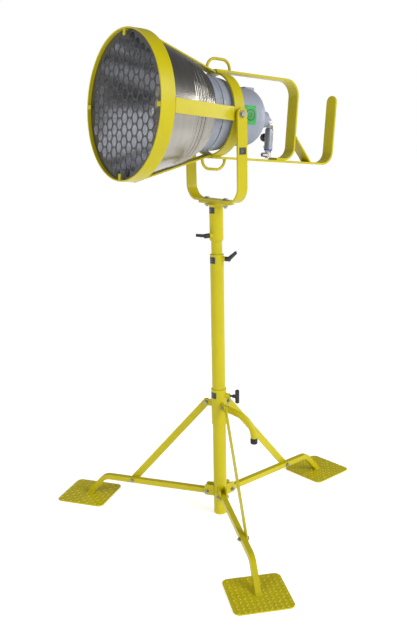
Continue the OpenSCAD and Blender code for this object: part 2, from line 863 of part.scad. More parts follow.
module turbine_wheel() {
    blade_count = 16;
    color("#9fa3a8") optic() translate([0, 0, -144]) difference() {
        union() {
            cylinder(r = 60, h = 14);
            for (i = [0:blade_count - 1]) rotate([0, 0, i * 360 / blade_count])
                translate([55, -2, 0]) cube([22, 4, 14]);
        }
        translate([0, 0, -1]) cylinder(r = shaft_r, h = 16);
    }
}

module tilt_bolts() {
    color(steel) head() for (side = [-1, 1]) {
        pin_x(tilt_pin_r, side * 115, side * (yoke_out + face_gap + 2));
        pin_x(12.5, side * (yoke_out + face_gap), side * (yoke_out + face_gap + 2));
        pin_x(tilt_head_r, side * (yoke_out + face_gap + 2), side * (yoke_out + face_gap + 10), 6);
    }
}

module tilt_spacers() {
    color(black) head() for (side = [-1, 1]) difference() {
        pin_x(13, side * (rear_ring_r + 0.2), side * (yoke_in - face_gap));
        pin_x(tilt_pin_r + fit_gap, -yoke_out, yoke_out);
    }
}

// ---- Air inlet ----

module inlet_elbow() {
    r = 9.5;
    color(steel) head() translate([0, -boss_end, 0]) {
        rotate([-90, 0, 0]) cylinder(r = boss_tip_r, h = 4);
        translate([0, 0, elbow_bend]) rotate([0, -90, 0])
            rotate_extrude(angle = 90) translate([-elbow_bend, 0]) circle(r);
        translate([0, -elbow_bend, regulator_top]) {
            cylinder(r = 12.5, h = 9, $fn = 6);
            translate([0, 0, 9]) cylinder(r = r + 1, h = 5);
        }
    }
}

module regulator_body() {
    knob_seat = 18;
    color("#6f747b") head() translate([0, -drop_d, 0]) difference() {
        union() {
            translate([0, 0, regulator_low]) cylinder(r = regulator_r, h = regulator_top - regulator_low - 6);
            translate([0, 0, regulator_top - 6]) cylinder(r1 = regulator_r, r2 = regulator_r - 4, h = 6);
            translate([0, 0, -66]) cylinder(r = regulator_r + 1.5, h = 5);
            translate([0, 0, regulator_knob_up]) pin_x(10, -knob_seat, 0);
            translate([0, 0, regulator_low + 8]) pin_x(5, -regulator_r - 7, 0);
        }
        translate([0, 0, regulator_knob_up]) pin_x(4 + fit_gap, -knob_seat - 1, -8);
    }
}

module regulator_ring() {
    color("#2f49b8") head() translate([0, -drop_d, regulator_low - 4]) cylinder(r = regulator_r + 0.5, h = 4);
}

module regulator_knob() {
    color(black) head() translate([0, -drop_d, regulator_knob_up]) {
        pin_x(4, -24, -9);
        pin_x(13, -34, -18 - side_gap);
        for (i = [0:7]) rotate([i * 45, 0, 0]) translate([0, 12.5, 0]) pin_x(2.5, -33, -18 - side_gap);
    }
}

module inlet_coupler() {
    color(steel) head() translate([0, -drop_d, 0]) {
        translate([0, 0, coupler_low]) cylinder(r = 10, h = regulator_low - 4 - coupler_low);
        translate([0, 0, regulator_low - 10]) cylinder(r = 12, h = 6, $fn = 6);
        translate([0, 0, nipple_up]) difference() {
            pin_y(nipple_r, -27, 0);
            pin_y(5, -28, -6);
        }
    }
}

mast_tube();
mast_foot_plug();
lower_clamp_boss();
leg_clevises();
leg_pivot_bolts();
mast_bush();
collar_sleeve();
collar_handle();
handle_cap();
strut_pivot_bolts();
collar_knob();
leg_right();
foot_plate_right();
strut_bolt_right();
leg_rear();
foot_plate_rear();
strut_bolt_rear();
leg_left();
foot_plate_left();
strut_bolt_left();
strut_right();
strut_rear();
strut_left();
inner_tube();
inner_tube_guide();
lower_clamp_lever();
socket_tube();
socket_bush();
yoke();
yoke_bolts();
upper_clamp_lever();
front_ring();
guard_straps();
rear_ring();
grille();
grille_clips();
reflector();
reflector_collar();
lamp_neck();
neck_gasket();
rear_housing();
housing_screws();
glass_globe();
bulb();
lamp_holder();
stator();
rotor_bearings();
magnet_rotor();
turbine_wheel();
tilt_bolts();
tilt_spacers();
handle_hoop();
hose_hook_bar();
hook_brace();
lifting_loops();
inlet_elbow();
regulator_body();
regulator_ring();
regulator_knob();
inlet_coupler();
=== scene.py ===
"""An air driven flood light on a folding tripod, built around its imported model.

Metres, +Z up, the lamp facing -Y. A size in mm is turned into metres by MM.
"""

import json
import math

import bmesh
import bpy
from mathutils import Matrix, Vector

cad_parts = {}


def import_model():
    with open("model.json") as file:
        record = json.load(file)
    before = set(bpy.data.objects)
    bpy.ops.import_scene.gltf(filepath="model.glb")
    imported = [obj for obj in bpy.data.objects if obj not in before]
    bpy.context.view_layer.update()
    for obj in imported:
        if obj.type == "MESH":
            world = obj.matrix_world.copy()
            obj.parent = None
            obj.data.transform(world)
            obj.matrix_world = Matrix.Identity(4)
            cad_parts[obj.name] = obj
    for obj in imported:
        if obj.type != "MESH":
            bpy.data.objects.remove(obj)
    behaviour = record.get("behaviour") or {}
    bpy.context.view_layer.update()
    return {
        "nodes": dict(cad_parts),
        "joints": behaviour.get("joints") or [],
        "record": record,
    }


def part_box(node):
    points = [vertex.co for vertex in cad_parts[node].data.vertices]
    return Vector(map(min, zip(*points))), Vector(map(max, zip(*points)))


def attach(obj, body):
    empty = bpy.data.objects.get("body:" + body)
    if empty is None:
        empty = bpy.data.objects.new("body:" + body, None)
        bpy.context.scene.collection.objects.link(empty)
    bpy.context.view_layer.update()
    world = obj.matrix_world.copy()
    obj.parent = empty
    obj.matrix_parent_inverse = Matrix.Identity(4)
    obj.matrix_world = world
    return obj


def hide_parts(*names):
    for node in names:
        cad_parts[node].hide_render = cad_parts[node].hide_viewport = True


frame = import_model()

MM = 0.001
JOINTS = {joint["name"]: joint for joint in frame["joints"]}
SIDES = ("right", "rear", "left")
UP = Vector((0, 0, 1))


# ---- Places ----


def joint_place(name):
    """A point on a joint's axis."""
    return Vector(JOINTS[name]["pos_m"])


def joint_axis(name):
    """The unit direction of a joint's axis."""
    return Vector(JOINTS[name]["axis"]).normalized()


def axes_matrix(origin, x, y, z):
    """The matrix that takes a point from a frame with these axes to the world."""
    return Matrix((
        (x.x, y.x, z.x, origin.x),
        (x.y, y.y, z.y, origin.y),
        (x.z, y.z, z.z, origin.z),
        (0, 0, 0, 1),
    ))


def box_middle(node):
    """The middle of a CAD node's box."""
    low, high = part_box(node)
    return (Vector(low) + Vector(high)) / 2


def lamp_frame():
    """The lamp's own frame: X across, Y forwards along the beam, Z up, from the tilt axis."""
    forward = joint_axis("turbine_spin")
    across = Vector((-1, 0, 0))
    return axes_matrix(joint_place("tilt"), across, forward, across.cross(forward))


def outward_frame(direction, height=0.0):
    """A frame on the mast's axis: X outwards, Y to the left of someone looking outwards, Z up."""
    x = Vector((direction.x, direction.y, 0)).normalized()
    return axes_matrix(Vector((0, 0, height)), x, UP.cross(x), UP)


def leg_direction(side):
    """The level direction in which a leg points."""
    return UP.cross(joint_axis(side + "_leg_fold"))


LAMP = lamp_frame()
LEGS = {side: outward_frame(leg_direction(side)) for side in SIDES}


# ---- Materials ----


class Shader:
    """A material's nodes, made and joined in short calls."""

    def __init__(self, name, **values):
        self.material = bpy.data.materials.new(name)
        self.material.use_nodes = True
        self.tree = self.material.node_tree
        self.bsdf = self.tree.nodes["Principled BSDF"]
        self.set(self.bsdf, **values)

    def set(self, node, **values):
        """Sets sockets by name, an underscore standing for a space."""
        for key, value in values.items():
            node.inputs[key.replace("_", " ")].default_value = value

    def add(self, kind, **values):
        """Adds a shader node and sets its sockets."""
        node = self.tree.nodes.new("ShaderNode" + kind)
        self.set(node, **values)
        return node

    def link(self, output, target):
        """Joins an output to an input."""
        self.tree.links.new(output, target)

    def place(self, turn=(0, 0, 0), scale=(1, 1, 1)):
        """Object coordinates, turned and scaled."""
        source = self.add("TexCoord")
        mapping = self.add("Mapping", Rotation=turn, Scale=scale)
        self.link(source.outputs["Object"], mapping.inputs["Vector"])
        return mapping.outputs["Vector"]

    def noise(self, scale, detail=4.0, rough=0.55, place=None):
        """Noise from 0 to 1, in object coordinates unless a place is given."""
        node = self.add("TexNoise", Scale=scale, Detail=detail, Roughness=rough)
        self.link(place or self.place(), node.inputs["Vector"])
        return node.outputs["Fac"]

    def ramp(self, source, low, high):
        """0 below low, 1 above high, and in between a straight rise."""
        node = self.add("ValToRGB")
        first, last = node.color_ramp.elements
        first.position = low
        last.position = high
        first.color = (0, 0, 0, 1)
        last.color = (1, 1, 1, 1)
        self.link(source, node.inputs["Fac"])
        return node.outputs["Color"]

    def mix(self, factor, a, b):
        """A colour between a and b. Each argument is a value or an output."""
        node = self.add("Mix")
        node.data_type = "RGBA"
        slots = (node.inputs[0], node.inputs[6], node.inputs[7])
        for slot, value in zip(slots, (factor, a, b)):
            if isinstance(value, (tuple, float, int)):
                slot.default_value = value
            else:
                self.link(value, slot)
        return node.outputs[2]

    def math(self, operation, a, b):
        """One sum on two numbers or outputs."""
        node = self.add("Math")
        node.operation = operation
        for slot, value in zip(node.inputs, (a, b)):
            if isinstance(value, (float, int)):
                slot.default_value = value
            else:
                self.link(value, slot)
        return node.outputs[0]

    def span(self, source, low, high):
        """Maps 0..1 to low..high."""
        node = self.add("MapRange")
        self.link(source, node.inputs["Value"])
        node.inputs["To Min"].default_value = low
        node.inputs["To Max"].default_value = high
        return node.outputs["Result"]

    def color(self, output):
        """Joins an output to the base colour."""
        self.link(output, self.bsdf.inputs["Base Color"])

    def roughness(self, output):
        """Joins an output to the roughness."""
        self.link(output, self.bsdf.inputs["Roughness"])

    def bump(self, heights):
        """Adds up (height, strength, distance) layers of bump."""
        normal = None
        for height, strength, distance in heights:
            node = self.add("Bump", Strength=strength, Distance=distance)
            self.link(height, node.inputs["Height"])
            if normal:
                self.link(normal, node.inputs["Normal"])
            normal = node.outputs["Normal"]
        self.link(normal, self.bsdf.inputs["Normal"])


def edges(shader):
    """1 along sharp outside edges."""
    geometry = shader.add("NewGeometry")
    return shader.ramp(geometry.outputs["Pointiness"], 0.53, 0.6)


def paint(name, color, scuff):
    """Glossy paint, chipped to the primer along its edges by scuff, with grime in smudges."""
    s = Shader(name, Coat_Weight=0.06, Coat_Roughness=0.15, Specular_IOR_Level=0.28)
    deep = tuple(c * 0.82 for c in color) + (1,)
    pale = tuple(min(c * 1.06, 1) for c in color) + (1,)
    primer = (0.34, 0.30, 0.16, 1)
    grime = (0.30, 0.25, 0.05, 1)
    tone = s.mix(s.noise(7, 3), deep, pale)
    smudge = s.math("MULTIPLY", s.ramp(s.noise(38, 8, 0.7), 0.56, 0.74), 0.3)
    tone = s.mix(smudge, tone, grime)
    chips = s.math("MULTIPLY", s.ramp(s.noise(260, 5, 0.7), 0.60, 0.66), edges(s))
    tone = s.mix(s.math("MULTIPLY", chips, scuff), tone, primer)
    s.color(tone)
    s.roughness(s.span(s.noise(60, 6, 0.6), 0.24, 0.46))
    s.bump([(s.noise(1100, 2), 0.10, 0.0004), (s.noise(160, 3), 0.12, 0.0006)])
    return s.material


def casting():
    """Grey painted casting, worn pale along its edges."""
    s = Shader("cast_grey", Metallic=0.15, Specular_IOR_Level=0.45)
    tone = s.mix(s.noise(14, 5), (0.24, 0.265, 0.325, 1), (0.32, 0.345, 0.41, 1))
    grime = s.math("MULTIPLY", s.ramp(s.noise(70, 8, 0.7), 0.52, 0.75), 0.35)
    tone = s.mix(grime, tone, (0.16, 0.16, 0.165, 1))
    tone = s.mix(s.math("MULTIPLY", edges(s), 0.35), tone, (0.55, 0.56, 0.58, 1))
    s.color(tone)
    s.roughness(s.span(s.noise(120, 6), 0.42, 0.66))
    s.bump([(s.noise(900, 4, 0.7), 0.28, 0.0005), (s.noise(60, 3), 0.15, 0.001)])
    return s.material


def spun_metal(name, color, rough_low, rough_high, groove):
    """Metal with fine rings about the lamp's axis."""
    s = Shader(name, Metallic=1.0, Anisotropic=0.4)
    tilt = math.asin(joint_axis("turbine_spin").z)
    rings = s.place((tilt, 0, 0), (0.01, 1, 0.01))
    dark = tuple(c * 0.8 for c in color) + (1,)
    tone = s.mix(s.noise(55, 4, 0.6, rings), dark, color + (1,))
    haze = s.math("MULTIPLY", s.ramp(s.noise(16, 6, 0.65), 0.5, 0.8), 0.4)
    s.color(s.mix(haze, tone, tuple(c * 0.72 for c in color) + (1,)))
    s.roughness(s.span(s.noise(240, 5, 0.6, rings), rough_low, rough_high))
    s.bump([(s.noise(420, 2, 0.5, rings), groove, 0.0003), (s.noise(6, 2), 0.12, 0.002)])
    return s.material


def metal(name, color, rough_low, rough_high, spots=0.25, bump=0.12):
    """Bare metal with dull patches."""
    s = Shader(name, Metallic=1.0)
    dull = tuple(c * 0.55 for c in color) + (1,)
    patches = s.math("MULTIPLY", s.ramp(s.noise(190, 7, 0.7), 0.45, 0.75), spots)
    s.color(s.mix(patches, color + (1,), dull))
    s.roughness(s.span(s.noise(150, 5), rough_low, rough_high))
    s.bump([(s.noise(700, 4, 0.6), bump, 0.0003)])
    return s.material


def plastic(name, color, rough_low=0.38, rough_high=0.6, grain=0.2):
    """Plastic, rubber or printed film with a fine grain."""
    s = Shader(name, Specular_IOR_Level=0.45)
    light = tuple(min(c * 1.5 + 0.012, 1) for c in color) + (1,)
    s.color(s.mix(s.ramp(s.noise(90, 6), 0.4, 0.8), color + (1,), light))
    s.roughness(s.span(s.noise(200, 4), rough_low, rough_high))
    s.bump([(s.noise(1400, 2), grain, 0.0003)])
    return s.material


def clear_glass():
    """The globe's clear glass."""
    s = Shader("globe_glass", Transmission_Weight=1.0, IOR=1.46, Base_Color=(0.95, 0.98, 0.99, 1))
    s.roughness(s.span(s.noise(40, 4), 0.01, 0.07))
    s.bump([(s.noise(30, 2), 0.05, 0.0005)])
    return s.material


def frosted():
    """The bulb's milky glass."""
    s = Shader("bulb_glass", Transmission_Weight=0.35, Base_Color=(0.93, 0.92, 0.88, 1))
    s.roughness(s.span(s.noise(120, 4), 0.3, 0.5))
    s.bump([(s.noise(800, 2), 0.1, 0.0002)])
    return s.material


MATERIALS = {
    "yellow_paint": paint("yellow_paint", (0.53, 0.455, 0.001), 0.5),
    "casting_grey": casting(),
    "zinc_steel": metal("zinc_steel", (0.36, 0.345, 0.30), 0.28, 0.46),
    "black_plastic": plastic("black_plastic", (0.012, 0.012, 0.013)),
    "black_rubber": plastic("black_rubber", (0.010, 0.010, 0.010), 0.6, 0.8, 0.35),
    "dark_steel": metal("dark_steel", (0.17, 0.165, 0.15), 0.36, 0.55, 0.4),
    "spun_aluminium": spun_metal("spun_aluminium", (0.43, 0.41, 0.37), 0.20, 0.30, 0.02),
    "clear_glass": clear_glass(),
    "white_glass": frosted(),
    "white_plastic": plastic("ceramic", (0.74, 0.72, 0.67), 0.2, 0.35, 0.05),
    "copper_winding": metal("copper_winding", (0.60, 0.26, 0.12), 0.35, 0.5),
    "chrome_fitting": metal("nickel", (0.72, 0.71, 0.69), 0.10, 0.26, 0.12, 0.05),
    "dark_aluminium": metal("grey_aluminium", (0.30, 0.31, 0.33), 0.34, 0.52, 0.3),
    "blue_plastic": plastic("blue_plastic", (0.025, 0.05, 0.42), 0.25, 0.4, 0.08),
}
SLOT_OF = {part["node"]: part["material_slot"] for part in frame["record"]["subparts"]}
BODIES = frame["record"]["behaviour"]["bodies"]
BODY_OF = {node: body for body, nodes in BODIES.items() for node in nodes}


# ---- Meshes ----


def place_object(name, data):
    """Links a new object into the scene."""
    thing = bpy.data.objects.new(name, data)
    bpy.context.scene.collection.objects.link(thing)
    return thing


def finish_piece(name, mesh_data, body, slot, material=None, smooth=35):
    """Makes an object of a bmesh, in world coordinates, and rides it on a body."""
    bmesh.ops.recalc_face_normals(mesh_data, faces=mesh_data.faces)
    mesh = bpy.data.meshes.new(name)
    mesh_data.to_mesh(mesh)
    mesh_data.free()
    mesh.shade_smooth()
    mesh.set_sharp_from_angle(angle=math.radians(smooth))
    mesh.materials.append(material or MATERIALS[slot])
    piece = place_object(name, mesh)
    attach(piece, body)
    return piece


BEVEL_SEGMENTS = 2
BEVEL_ANGLE = 38
FLAT_ANGLE = 0.6
WELD_DISTANCE = 0.01


def rounded(node, width):
    """Replaces a CAD node with a copy whose sharp edges are rounded by a width in mm."""
    source = frame["nodes"][node]
    data = bmesh.new()
    data.from_mesh(source.data)
    data.transform(source.matrix_world)
    bmesh.ops.remove_doubles(data, verts=data.verts, dist=WELD_DISTANCE * MM)
    flat = math.radians(FLAT_ANGLE)
    bmesh.ops.dissolve_limit(data, angle_limit=flat, verts=data.verts, edges=data.edges)
    piece = finish_piece(node + "_body", data, BODY_OF[node], SLOT_OF[node])
    bevel = piece.modifiers.new("round", "BEVEL")
    bevel.width = width * MM
    bevel.segments = BEVEL_SEGMENTS
    bevel.limit_method = "ANGLE"
    bevel.angle_limit = math.radians(BEVEL_ANGLE)
    bevel.harden_normals = False
    weighted = piece.modifiers.new("normals", "WEIGHTED_NORMAL")
    weighted.keep_sharp = True
    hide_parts(node)
    return piece


def round_point(radius, turn, height):
    """A point at an angle about Z."""
    return Vector((radius * math.cos(turn), radius * math.sin(turn), height))


def join_rings(data, rings):
    """Makes a face between each pair of neighbours on rings that follow each other."""
    for a, b in zip(rings, rings[1:]):
        count = len(a)
        for k in range(count):
            data.faces.new((a[k], a[(k + 1) % count], b[(k + 1) % count], b[k]))


WELD_RIPPLE = 0.22
WELD_PITCH = 2.4 * MM
WELD_STEP = 0.7 * MM
WELD_END = 0.4
WELD_SIDES = 8


def sweep(data, path, radius, closed):
    """Adds a round bead along a path, its radius rippling like a weld's and small at an open end."""
    count = len(path)
    rings = []
    travelled = 0.0
    for i, point in enumerate(path):
        before = path[i - 1] if i or closed else path[0]
        after = path[(i + 1) % count] if i < count - 1 or closed else path[-1]
        along = (after - before).normalized()
        across = along.orthogonal().normalized()
        if rings:
            across = (last_across - along * last_across.dot(along)).normalized()
        last_across = across
        other = along.cross(across)
        travelled += (point - path[i - 1]).length if i else 0
        r = radius * (1 - WELD_RIPPLE * abs(math.sin(math.pi * travelled / WELD_PITCH)))
        if not closed and i in (0, count - 1):
            r *= WELD_END
        ring = []
        for k in range(WELD_SIDES):
            turn = 2 * math.pi * k / WELD_SIDES
            ring.append(data.verts.new(point + across * (r * math.cos(turn)) + other * (r * math.sin(turn))))
        rings.append(ring)
    pairs = list(zip(rings, rings[1:]))
    if closed:
        pairs.append((rings[-1], rings[0]))
    for a, b in pairs:
        offset = 0
        if closed and b is rings[0]:
            offset = min(range(WELD_SIDES), key=lambda k: (a[0].co - b[k].co).length)
        for k in range(WELD_SIDES):
            n = (k + 1) % WELD_SIDES
            data.faces.new((a[k], a[n], b[(n + offset) % WELD_SIDES], b[(k + offset) % WELD_SIDES]))
    if not closed:
        data.faces.new(rings[0])
        data.faces.new(list(reversed(rings[-1])))


def resample(points, closed):
    """Points at even steps along a polyline."""
    corners = list(points) + ([points[0]] if closed else [])
    path = []
    for a, b in zip(corners, corners[1:]):
        steps = max(1, round((b - a).length / WELD_STEP))
        path += [a.lerp(b, i / steps) for i in range(steps)]
    return path if closed else path + [corners[-1]]


def welds(name, body, place, lines=(), loops=()):
    """Weld beads in one piece: lines and closed loops of (points in mm, radius in mm) in a given frame."""
    data = bmesh.new()
    for kind, closed in ((lines, False), (loops, True)):
        for points, radius in kind:
            world = [place @ (Vector(p) * MM) for p in points]
            sweep(data, resample(world, closed), radius * MM, closed)
    return finish_piece(name, data, body, "yellow_paint", smooth=60)


def saddle(tube_r, hole_r, height, drop=0.0, count=28):
    """The loop where a round bar of radius hole_r meets a tube of radius tube_r, in mm, the bar along X."""
    points = []
    for i in range(count):
        turn = 2 * math.pi * i / count
        y = hole_r * math.cos(turn)
        x = math.sqrt(tube_r * tube_r - y * y)
        points.append((x, y, height + hole_r * math.sin(turn) * (1 + drop)))
    return points


def ring_points(radius, height, count=48):
    """Points round a level circle."""
    return [round_point(radius, 2 * math.pi * i / count, height) for i in range(count)]


def hex_head(data, place, radius, height, washer):
    """A hexagon head standing on the XY plane of a frame, with a washer under it, in mm."""
    base = 1.6
    rim = 0.4
    chamfer = 0.9
    add_lathe(data, place, [(0, 0), (washer, 0), (washer, base - rim), (washer - rim, base), (0, base)])
    rings = []
    levels = ((base, radius), (base + height - chamfer, radius), (base + height, radius - 1.6 * chamfer))
    for level, r in levels:
        corners = [round_point(r, math.pi * k / 3, level) for k in range(6)]
        rings.append([data.verts.new(place @ (corner * MM)) for corner in corners])
    join_rings(data, rings)
    data.faces.new(rings[0])
    data.faces.new(rings[-1])


def add_lathe(data, place, outline, sides=32):
    """Turns an outline of (radius, height) points in mm about a frame's Z."""
    rings = []
    for r, h in outline:
        if r < 1e-6:
            rings.append([data.verts.new(place @ Vector((0, 0, h * MM)))])
            continue
        points = [round_point(r, 2 * math.pi * k / sides, h) for k in range(sides)]
        rings.append([data.verts.new(place @ (point * MM)) for point in points])
    for a, b in zip(rings, rings[1:]):
        for k in range(sides):
            n = (k + 1) % sides
            if len(a) == 1:
                data.faces.new((a[0], b[n], b[k]))
            elif len(b) == 1:
                data.faces.new((a[k], a[n], b[0]))
            else:
                data.faces.new((a[k], a[n], b[n], b[k]))


def along_axis(origin, axis):
    """A frame whose Z is the given axis."""
    z = axis.normalized()
    x = z.orthogonal().normalized()
    return axes_matrix(origin, x, z.cross(x), z)


# ---- The frame's nodes ----

# The width in mm by which each node's sharp edges are rounded. The rest keep their CAD meshes.
ROUND = {
    "mast_tube": 0.8, "mast_foot_plug": 0.6, "lower_clamp_boss": 0.8, "leg_clevises": 1.0,
    "leg_pivot_bolts": 0.5,
    "collar_sleeve": 1.0, "collar_handle": 0.3, "handle_cap": 1.2, "strut_pivot_bolts": 0.5,
    "collar_knob": 1.5, "inner_tube": 0.5, "lower_clamp_lever": 1.6, "upper_clamp_lever": 1.6,
    "socket_tube": 1.2, "yoke": 1.2, "yoke_bolts": 0.6, "front_ring": 1.3, "guard_straps": 1.0,
    "rear_ring": 1.3, "grille_clips": 0.6, "reflector": 0.3, "reflector_collar": 0.7,
    "lamp_neck": 1.5, "rear_housing": 1.6, "housing_screws": 0.5, "tilt_bolts": 0.8,
    "tilt_spacers": 0.5, "handle_hoop": 1.3, "hose_hook_bar": 1.3, "hook_brace": 0.9,
    "lifting_loops": 0.2, "inlet_elbow": 0.7, "regulator_body": 1.0, "regulator_ring": 0.5,
    "regulator_knob": 0.8, "inlet_coupler": 0.6,
}
for side in SIDES:
    ROUND["leg_" + side] = 1.6
    ROUND["foot_plate_" + side] = 1.0
    ROUND["strut_bolt_" + side] = 0.5
    ROUND["strut_" + side] = 0.9

for node, node_object in frame["nodes"].items():
    node_object.data.materials.clear()
    node_object.data.materials.append(MATERIALS[SLOT_OF[node]])
for node, width in ROUND.items():
    rounded(node, width)


def polish_inside(node):
    """Gives the faces that look towards the beam's axis a polished finish."""
    piece = bpy.data.objects[node + "_body"]
    piece.data.materials.append(spun_metal("polished_inside", (0.70, 0.71, 0.75), 0.10, 0.2, 0.03))
    to_lamp = LAMP.inverted()
    turn = to_lamp.to_3x3()
    for face in piece.data.polygons:
        middle = to_lamp @ face.center
        normal = turn @ face.normal
        if middle.x * normal.x + middle.z * normal.z < 0:
            face.material_index = 1


polish_inside("reflector")


# ---- Spun ridges ----

# In mm. The first ridge's place is along the beam from the tilt axis.
RIDGE_FIRST = 154
RIDGE_PITCH = 8.5
RIDGE_HEIGHTS = (3.6, 2.4, 3.4, 1.9, 2.8, 1.6, 1.2)
RIDGE_HALF = 3.0
RIDGE_SINK = 0.3
RIDGE_STEPS = 4


def outer_radius(node):
    """A function that gives a node's outer radius at a place along the beam, in mm."""
    to_lamp = LAMP.inverted()
    widest = {}
    for vertex in frame["nodes"][node].data.vertices:
        point = (to_lamp @ vertex.co) / MM
        place = round(point.y, 1)
        widest[place] = max(widest.get(place, 0), math.hypot(point.x, point.z))
    places = sorted(widest)

    def radius(place):
        before = max(p for p in places if p <= place)
        after = min(p for p in places if p >= place)
        share = (place - before) / (after - before) if after > before else 0
        return widest[before] + (widest[after] - widest[before]) * share

    return radius


def spun_ridges():
    """Round ridges where the reflector was rolled down to its neck."""
    radius = outer_radius("reflector")
    beam = along_axis(joint_place("tilt"), joint_axis("turbine_spin"))
    data = bmesh.new()
    for i, height in enumerate(RIDGE_HEIGHTS):
        middle = RIDGE_FIRST + i * RIDGE_PITCH
        outline = []
        for step in range(-RIDGE_STEPS, RIDGE_STEPS + 1):
            share = step / RIDGE_STEPS
            place = middle + share * RIDGE_HALF
            outline.append((radius(place) - RIDGE_SINK + height * math.cos(share * math.pi / 2), place))
        outline.append(outline[0])
        add_lathe(data, beam, outline, 120)
    bmesh.ops.remove_doubles(data, verts=data.verts, dist=0.001 * MM)
    finish_piece("reflector_ridges", data, "lamp", "spun_aluminium", smooth=60)


# ---- Tread plates ----

PLATE_HALF = 100
TREAD_PITCH = 17.5
TREAD_SHIFT = 0.25
TREAD_LENGTH = 15
TREAD_WIDTH = 5.2
TREAD_HEIGHT = 1.9
TREAD_ENDS = 0.35
# Each level of a bar: its height and its size, as shares of the bar's own.
TREAD_LEVELS = ((-0.2, 1.0), (0.55, 0.86), (0.9, 0.6), (1.0, 0.3))
LEG_CLEAR_X = 22
LEG_CLEAR_Y = 19
CORNER_CLEAR = 14

# The bars' yellow is lighter than the plate's. That is a painted highlight on the raised bars. Their paint
# also chips more along its edges, which is real wear.
TREAD_HIGHLIGHT_AND_WEAR = paint("tread_highlight_and_wear", (0.66, 0.57, 0.02), 1.0)


def add_lozenge(data, place, x, y, turn):
    """A raised lens shape lying on a plate, in mm."""
    count = 14
    rings = []
    for level, share in TREAD_LEVELS:
        ring = []
        for k in range(count):
            angle = 2 * math.pi * k / count
            u = share * TREAD_LENGTH / 2 * math.cos(angle)
            v = share * TREAD_WIDTH / 2 * math.sin(angle) * abs(math.sin(angle)) ** TREAD_ENDS
            px = x + u * math.cos(turn) - v * math.sin(turn)
            py = y + u * math.sin(turn) + v * math.cos(turn)
            ring.append(data.verts.new(place @ (Vector((px, py, level * TREAD_HEIGHT)) * MM)))
        rings.append(ring)
    join_rings(data, rings)
    data.faces.new(rings[-1])


def tread(side):
    """Raised bars in a basket pattern over a foot plate, clear of its edges, its corners and the leg."""
    middle = box_middle("foot_plate_" + side)
    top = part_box("foot_plate_" + side)[1][2]
    place = Matrix.Translation((middle.x, middle.y, top)) @ LEGS[side].to_3x3().to_4x4()
    data = bmesh.new()
    reach = PLATE_HALF - TREAD_LENGTH / 2
    steps = int(PLATE_HALF / TREAD_PITCH) + 1
    for i in range(-steps, steps + 1):
        for j in range(-steps, steps + 1):
            x = (i + TREAD_SHIFT) * TREAD_PITCH
            y = (j + TREAD_SHIFT) * TREAD_PITCH
            under_leg = abs(x) < LEG_CLEAR_X and abs(y) < LEG_CLEAR_Y
            corner = min(abs(x), abs(y)) > PLATE_HALF - CORNER_CLEAR
            if max(abs(x), abs(y)) > reach or under_leg or corner:
                continue
            turn = math.radians(45 if (i + j) % 2 else -45)
            add_lozenge(data, place, x, y, turn)
    # The bars take the lighter yellow, a painted highlight, with more edge wear.
    finish_piece("tread_" + side, data, side + "_leg", "yellow_paint", TREAD_HIGHLIGHT_AND_WEAR, smooth=50)


# ---- Welds ----


def turned(points, degrees):
    """Points turned about the lamp's beam."""
    turn = Matrix.Rotation(math.radians(degrees), 3, "Y")
    return [turn @ Vector(p) for p in points]


def ring_at(forward, height, radius, slope=0.0, count=24):
    """A level circle in the lamp's frame, tipped along the beam by a slope."""
    points = []
    for i in range(count):
        turn = 2 * math.pi * i / count
        u = radius * math.cos(turn)
        points.append((radius * math.sin(turn), forward + u, height + u * slope))
    return points


def lamp_welds():
    """The beads that join the straps, the lifting loops, the handle, the brace and the hook's bar."""
    strap_half = 22
    bar_half = 24
    lines = []
    loops = []
    for quarter in range(4):
        for forward, height, bead in ((315, 237.6, 1.7), (21, 140.2, 1.9), (314, 231.0, 1.7)):
            across = [(-strap_half, forward, height), (strap_half, forward, height)]
            lines.append((turned(across, 90 * quarter), bead))
    for sign in (1, -1):
        for x in (-24.5, 24.5):
            lines.append(([(x, -19, sign * 138.6), (x, 19, sign * 138.6)], 2.1))
        loops.append((ring_at(-52, sign * 148.2, 5.6), 1.6))
        loops.append((ring_at(43, sign * 148.4, 5.6, 0.33 * sign), 1.6))
    lines.append(([(-bar_half, -270.5, -139.6), (bar_half, -270.5, -139.6)], 2.2))
    for x in (-25, 25):
        lines.append(([(x, -300, -140), (x, -272, -140)], 1.5))
    for forward, height in ((-356.5, -52), (-437.5, -139.4)):
        lines.append(([(-bar_half, forward, height), (bar_half, forward, height)], 2.0))
    welds("welds_lamp", "lamp", LAMP, lines, loops)


# Where a bead lies on a tube, as a radius in mm, and the radius of a welded boss.
MAST_BEAD_R = 25.2
COLLAR_BEAD_R = 28.7
BOSS_BEAD_R = 9.4


def boss_weld(joint, tube_r):
    """The loop round a boss on a tube, at a joint whose axis points out of it."""
    place = outward_frame(joint_axis(joint))
    height = joint_place(joint).z / MM
    return [tuple(place @ Vector(p)) for p in saddle(tube_r, BOSS_BEAD_R, height)]


def upright_bead(side, radius, y, low, high):
    """An upright line on a tube, at a place y across a leg's direction, in mm."""
    x = math.sqrt(radius ** 2 - y * y)
    return [tuple(LEGS[side] @ Vector((x, y, z))) for z in (low, high)]


def mast_welds():
    """The beads along the leg ears, outside and inside each pair, and round the clamp's boss."""
    low, high = 76, 115
    lines = []
    for side in SIDES:
        for half, radius, bead in ((16.0, 25.6, 1.9), (10.0, 25.4, 1.4)):
            for y in (-half, half):
                lines.append((upright_bead(side, radius, y, low, high), bead))
    boss = boss_weld("lower_lever_turn", MAST_BEAD_R)
    welds("welds_mast", "stand", Matrix.Identity(4), lines, [(boss, 1.5)])


